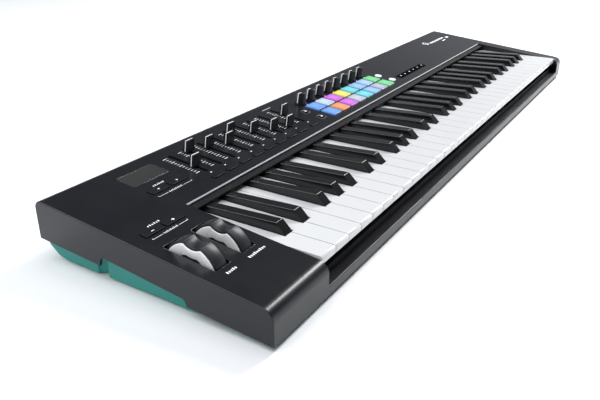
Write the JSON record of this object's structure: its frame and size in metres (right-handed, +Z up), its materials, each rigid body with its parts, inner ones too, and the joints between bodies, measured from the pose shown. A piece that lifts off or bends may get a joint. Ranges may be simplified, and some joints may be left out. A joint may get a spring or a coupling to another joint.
{
  "type": "keyboard synthesizer",
  "caption": "Long, low keyboard synthesizer: piano-style keys with a sloping control panel of faders, knobs, lit pads and thumb wheels, on a shallow coloured base.",
  "frame": {"origin": "on the surface that it stands on, under the middle of the case", "axes": "+X along the keys towards the highest note, +Y away from the player, +Z up"},
  "size_m": [0.956, 0.256, 0.0727],
  "materials": {
    "black_case": "satin moulded plastic",
    "teal_case": "satin moulded plastic",
    "silver_trim": "polished",
    "dark_strip": "matte",
    "chassis": "matte",
    "felt": "felt",
    "circuit_board": "solder mask",
    "grey_rubber": "moulded silicone",
    "steel": "plated",
    "display": "gloss",
    "smoked_window": "polished",
    "foot_rubber": "moulded",
    "screw_steel": "black oxide",
    "white_key": "gloss",
    "black_key": "gloss",
    "wheel_rubber": "satin rubber",
    "control_black": "satin",
    "lit_pad": "translucent silicone, lit",
    "lit_button": "translucent silicone, lit",
    "button_black": "satin silicone"
  },
  "bodies": {
    "case": {"top_case": "black_case", "bottom_case": "teal_case", "panel_edge_trim": "silver_trim", "key_shield": "dark_strip", "key_frame": "chassis", "key_felt": "felt", "key_contact_board": "circuit_board", "key_contact_rubber": "grey_rubber", "key_pivot_rod": "steel", "main_board": "circuit_board", "control_board": "circuit_board", "display_module": "display", "display_window": "smoked_window", "fader_bodies": "steel", "knob_pots": "steel", "wheel_bracket": "chassis", "wheel_pots": "steel", "usb_socket": "steel", "sustain_jack": "chassis", "rubber_feet": "foot_rubber", "case_screws": "screw_steel"},
    "keys_c": {"keys_c": "white_key"},
    "keys_d": {"keys_d": "white_key"},
    "keys_e": {"keys_e": "white_key"},
    "keys_f": {"keys_f": "white_key"},
    "keys_g": {"keys_g": "white_key"},
    "keys_a": {"keys_a": "white_key"},
    "keys_b": {"keys_b": "white_key"},
    "keys_c_sharp": {"keys_c_sharp": "black_key"},
    "keys_d_sharp": {"keys_d_sharp": "black_key"},
    "keys_f_sharp": {"keys_f_sharp": "black_key"},
    "keys_g_sharp": {"keys_g_sharp": "black_key"},
    "keys_a_sharp": {"keys_a_sharp": "black_key"},
    "pitch_wheel": {"pitch_wheel": "wheel_rubber"},
    "mod_wheel": {"mod_wheel": "wheel_rubber"},
    "fader_cap_1": {"fader_cap_1": "control_black"},
    "fader_cap_2": {"fader_cap_2": "control_black"},
    "fader_cap_3": {"fader_cap_3": "control_black"},
    "fader_cap_4": {"fader_cap_4": "control_black"},
    "fader_cap_5": {"fader_cap_5": "control_black"},
    "fader_cap_6": {"fader_cap_6": "control_black"},
    "fader_cap_7": {"fader_cap_7": "control_black"},
    "fader_cap_8": {"fader_cap_8": "control_black"},
    "fader_cap_9": {"fader_cap_9": "control_black"},
    "knob_1": {"knob_1": "control_black"},
    "knob_2": {"knob_2": "control_black"},
    "knob_3": {"knob_3": "control_black"},
    "knob_4": {"knob_4": "control_black"},
    "knob_5": {"knob_5": "control_black"},
    "knob_6": {"knob_6": "control_black"},
    "knob_7": {"knob_7": "control_black"},
    "knob_8": {"knob_8": "control_black"},
    "pads_back_row": {"pads_back_row": "lit_pad"},
    "pads_front_row": {"pads_front_row": "lit_pad"},
    "launch_buttons": {"launch_buttons": "lit_button"},
    "scene_buttons": {"scene_buttons": "lit_button"},
    "fader_buttons": {"fader_buttons": "button_black"},
    "track_buttons": {"track_buttons": "button_black"},
    "octave_buttons": {"octave_buttons": "button_black"},
    "transport_buttons": {"transport_buttons": "button_black"}
  },
  "joints": [
    {"name": "press_c", "type": "hinge", "parent": "case", "child": "keys_c", "pos_m": [0, 0.04, 0.0346], "axis": [1, 0, 0], "range_deg": [0, 3.6], "stiffness_Nm_per_rad": 3, "springref_deg": -8.59},
    {"name": "press_d", "type": "hinge", "parent": "case", "child": "keys_d", "pos_m": [0, 0.04, 0.0346], "axis": [1, 0, 0], "range_deg": [0, 3.6], "stiffness_Nm_per_rad": 3, "springref_deg": -8.59},
    {"name": "press_e", "type": "hinge", "parent": "case", "child": "keys_e", "pos_m": [0, 0.04, 0.0346], "axis": [1, 0, 0], "range_deg": [0, 3.6], "stiffness_Nm_per_rad": 3, "springref_deg": -8.59},
    {"name": "press_f", "type": "hinge", "parent": "case", "child": "keys_f", "pos_m": [0, 0.04, 0.0346], "axis": [1, 0, 0], "range_deg": [0, 3.6], "stiffness_Nm_per_rad": 3, "springref_deg": -8.59},
    {"name": "press_g", "type": "hinge", "parent": "case", "child": "keys_g", "pos_m": [0, 0.04, 0.0346], "axis": [1, 0, 0], "range_deg": [0, 3.6], "stiffness_Nm_per_rad": 3, "springref_deg": -8.59},
    {"name": "press_a", "type": "hinge", "parent": "case", "child": "keys_a", "pos_m": [0, 0.04, 0.0346], "axis": [1, 0, 0], "range_deg": [0, 3.6], "stiffness_Nm_per_rad": 3, "springref_deg": -8.59},
    {"name": "press_b", "type": "hinge", "parent": "case", "child": "keys_b", "pos_m": [0, 0.04, 0.0346], "axis": [1, 0, 0], "range_deg": [0, 3.6], "stiffness_Nm_per_rad": 3, "springref_deg": -8.59},
    {"name": "press_c_sharp", "type": "hinge", "parent": "case", "child": "keys_c_sharp", "pos_m": [0, 0.04, 0.0346], "axis": [1, 0, 0], "range_deg": [0, 3.6], "stiffness_Nm_per_rad": 3, "springref_deg": -8.59},
    {"name": "press_d_sharp", "type": "hinge", "parent": "case", "child": "keys_d_sharp", "pos_m": [0, 0.04, 0.0346], "axis": [1, 0, 0], "range_deg": [0, 3.6], "stiffness_Nm_per_rad": 3, "springref_deg": -8.59},
    {"name": "press_f_sharp", "type": "hinge", "parent": "case", "child": "keys_f_sharp", "pos_m": [0, 0.04, 0.0346], "axis": [1, 0, 0], "range_deg": [0, 3.6], "stiffness_Nm_per_rad": 3, "springref_deg": -8.59},
    {"name": "press_g_sharp", "type": "hinge", "parent": "case", "child": "keys_g_sharp", "pos_m": [0, 0.04, 0.0346], "axis": [1, 0, 0], "range_deg": [0, 3.6], "stiffness_Nm_per_rad": 3, "springref_deg": -8.59},
    {"name": "press_a_sharp", "type": "hinge", "parent": "case", "child": "keys_a_sharp", "pos_m": [0, 0.04, 0.0346], "axis": [1, 0, 0], "range_deg": [0, 3.6], "stiffness_Nm_per_rad": 3, "springref_deg": -8.59},
    {"name": "pitch_bend", "type": "hinge", "parent": "case", "child": "pitch_wheel", "pos_m": [-0.4542, -0.03657, 0.02855], "axis": [1, 0, 0], "range_deg": [-28, 28], "stiffness_Nm_per_rad": 0.05},
    {"name": "mod_turn", "type": "hinge", "parent": "case", "child": "mod_wheel", "pos_m": [-0.4202, -0.03657, 0.02855], "axis": [1, 0, 0], "range_deg": [-28, 28]},
    {"name": "slide_fader_1", "type": "slide", "parent": "case", "child": "fader_cap_1", "axis": [0, 0.9952, 0.0983], "range_m": [-0.0135, 0.031]},
    {"name": "slide_fader_2", "type": "slide", "parent": "case", "child": "fader_cap_2", "axis": [0, 0.9952, 0.0983], "range_m": [-0.0412, 0.0033]},
    {"name": "slide_fader_3", "type": "slide", "parent": "case", "child": "fader_cap_3", "axis": [0, 0.9952, 0.0983], "range_m": [-0.0329, 0.0116]},
    {"name": "slide_fader_4", "type": "slide", "parent": "case", "child": "fader_cap_4", "axis": [0, 0.9952, 0.0983], "range_m": [-0.0231, 0.0214]},
    {"name": "slide_fader_5", "type": "slide", "parent": "case", "child": "fader_cap_5", "axis": [0, 0.9952, 0.0983], "range_m": [-0.039, 0.0055]},
    {"name": "slide_fader_6", "type": "slide", "parent": "case", "child": "fader_cap_6", "axis": [0, 0.9952, 0.0983], "range_m": [-0.0225, 0.022]},
    {"name": "slide_fader_7", "type": "slide", "parent": "case", "child": "fader_cap_7", "axis": [0, 0.9952, 0.0983], "range_m": [-0.0103, 0.0342]},
    {"name": "slide_fader_8", "type": "slide", "parent": "case", "child": "fader_cap_8", "axis": [0, 0.9952, 0.0983], "range_m": [-0.003, 0.0415]},
    {"name": "slide_fader_9", "type": "slide", "parent": "case", "child": "fader_cap_9", "axis": [0, 0.9952, 0.0983], "range_m": [-0.0285, 0.016]},
    {"name": "turn_knob_1", "type": "hinge", "parent": "case", "child": "knob_1", "pos_m": [-0.092, 0.0877, 0.0565], "axis": [0, -0.0983, 0.9952], "range_deg": [-150, 150]},
    {"name": "turn_knob_2", "type": "hinge", "parent": "case", "child": "knob_2", "pos_m": [-0.0682, 0.0877, 0.0565], "axis": [0, -0.0983, 0.9952], "range_deg": [-150, 150]},
    {"name": "turn_knob_3", "type": "hinge", "parent": "case", "child": "knob_3", "pos_m": [-0.0444, 0.0877, 0.0565], "axis": [0, -0.0983, 0.9952], "range_deg": [-150, 150]},
    {"name": "turn_knob_4", "type": "hinge", "parent": "case", "child": "knob_4", "pos_m": [-0.0206, 0.0877, 0.0565], "axis": [0, -0.0983, 0.9952], "range_deg": [-150, 150]},
    {"name": "turn_knob_5", "type": "hinge", "parent": "case", "child": "knob_5", "pos_m": [0.0032, 0.0877, 0.0565], "axis": [0, -0.0983, 0.9952], "range_deg": [-150, 150]},
    {"name": "turn_knob_6", "type": "hinge", "parent": "case", "child": "knob_6", "pos_m": [0.027, 0.0877, 0.0565], "axis": [0, -0.0983, 0.9952], "range_deg": [-150, 150]},
    {"name": "turn_knob_7", "type": "hinge", "parent": "case", "child": "knob_7", "pos_m": [0.0508, 0.0877, 0.0565], "axis": [0, -0.0983, 0.9952], "range_deg": [-150, 150]},
    {"name": "turn_knob_8", "type": "hinge", "parent": "case", "child": "knob_8", "pos_m": [0.0746, 0.0877, 0.0565], "axis": [0, -0.0983, 0.9952], "range_deg": [-150, 150]},
    {"name": "press_pads_back_row", "type": "slide", "parent": "case", "child": "pads_back_row", "axis": [0, 0.0983, -0.9952], "range_m": [0, 0.0007], "stiffness_N_per_m": 6000, "springref_m": -0.0006},
    {"name": "press_pads_front_row", "type": "slide", "parent": "case", "child": "pads_front_row", "axis": [0, 0.0983, -0.9952], "range_m": [0, 0.0007], "stiffness_N_per_m": 6000, "springref_m": -0.0006},
    {"name": "press_launch_buttons", "type": "slide", "parent": "case", "child": "launch_buttons", "axis": [0, 0.0983, -0.9952], "range_m": [0, 0.0008], "stiffness_N_per_m": 1500, "springref_m": -0.0006},
    {"name": "press_scene_buttons", "type": "slide", "parent": "case", "child": "scene_buttons", "axis": [0, 0.0983, -0.9952], "range_m": [0, 0.0008], "stiffness_N_per_m": 1500, "springref_m": -0.0006},
    {"name": "press_fader_buttons", "type": "slide", "parent": "case", "child": "fader_buttons", "axis": [0, 0.0983, -0.9952], "range_m": [0, 0.0008], "stiffness_N_per_m": 3000, "springref_m": -0.0006},
    {"name": "press_track_buttons", "type": "slide", "parent": "case", "child": "track_buttons", "axis": [0, 0.0983, -0.9952], "range_m": [0, 0.0008], "stiffness_N_per_m": 1500, "springref_m": -0.0006},
    {"name": "press_octave_buttons", "type": "slide", "parent": "case", "child": "octave_buttons", "axis": [0, 0.0983, -0.9952], "range_m": [0, 0.0008], "stiffness_N_per_m": 1500, "springref_m": -0.0006},
    {"name": "press_transport_buttons", "type": "slide", "parent": "case", "child": "transport_buttons", "axis": [0, 0.0983, -0.9952], "range_m": [0, 0.0006], "stiffness_N_per_m": 2500, "springref_m": -0.0006}
  ]
}
